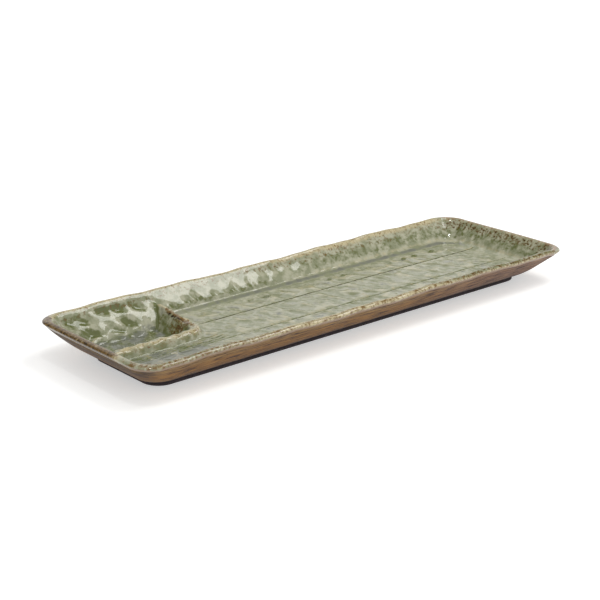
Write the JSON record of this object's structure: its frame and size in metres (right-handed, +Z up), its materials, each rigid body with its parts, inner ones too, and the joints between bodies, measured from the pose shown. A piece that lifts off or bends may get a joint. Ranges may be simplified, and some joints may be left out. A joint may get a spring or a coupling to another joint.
{
  "type": "olive dish",
  "caption": "Long narrow glazed stoneware dish with a flared wall, a foot ring and a pit well behind a low divider in one corner, for olives and their stones.",
  "frame": {"origin": "on the table under the middle of the dish", "axes": "+X along the dish away from the pit well, +Y across it towards the wall beside the well, +Z up"},
  "size_m": [0.3, 0.096, 0.021],
  "materials": {
    "stoneware": "matte bare clay",
    "bare_foot": "matte dark bare clay",
    "celadon": "gloss grey-green glaze over a hammered surface",
    "pooled_celadon": "gloss grey-green glaze, pooled",
    "rim_break": "gloss glaze broken to cream and brown speckle",
    "brown_wash": "satin brown wash with fine lengthwise streaks"
  },
  "bodies": {
    "root": {"tray_body": "stoneware", "foot_ring": "bare_foot", "well_cross_wall": "stoneware", "well_side_wall": "stoneware", "tray_glaze": "celadon", "well_glaze": "pooled_celadon", "divider_glaze": "celadon", "rim_glaze": "rim_break", "outer_glaze": "brown_wash"}
  },
  "joints": []
}
